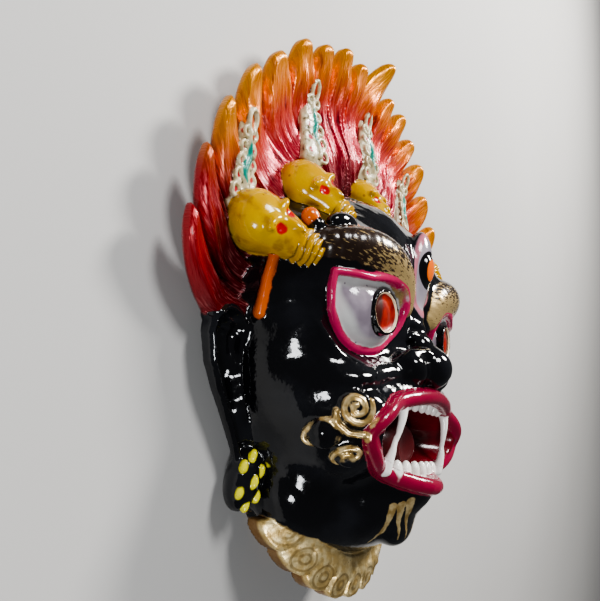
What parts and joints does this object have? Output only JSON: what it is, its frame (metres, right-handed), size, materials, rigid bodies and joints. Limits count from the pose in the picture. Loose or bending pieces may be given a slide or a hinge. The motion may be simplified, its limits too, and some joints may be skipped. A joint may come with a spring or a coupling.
{
  "type": "cast metal wall mask of a guardian deity",
  "caption": "Small hollow-backed cast mask of a wrathful guardian deity: black face with an open fanged mouth, a skull diadem, a flame crown and a scalloped collar.",
  "frame": {"origin": "under the middle of the mask, on the plane that its back lies on", "axes": "+Z out of the face, +Y towards the crown, +X to the viewer's right; the mask lies on its back"},
  "size_m": [0.1098, 0.124, 0.0332],
  "materials": {
    "enamel": "glossy hand-painted enamel: black face, gold trim, red to orange flames, ochre skulls, ivory plumes"
  },
  "bodies": {
    "root": {"mask": "enamel"}
  },
  "joints": []
}
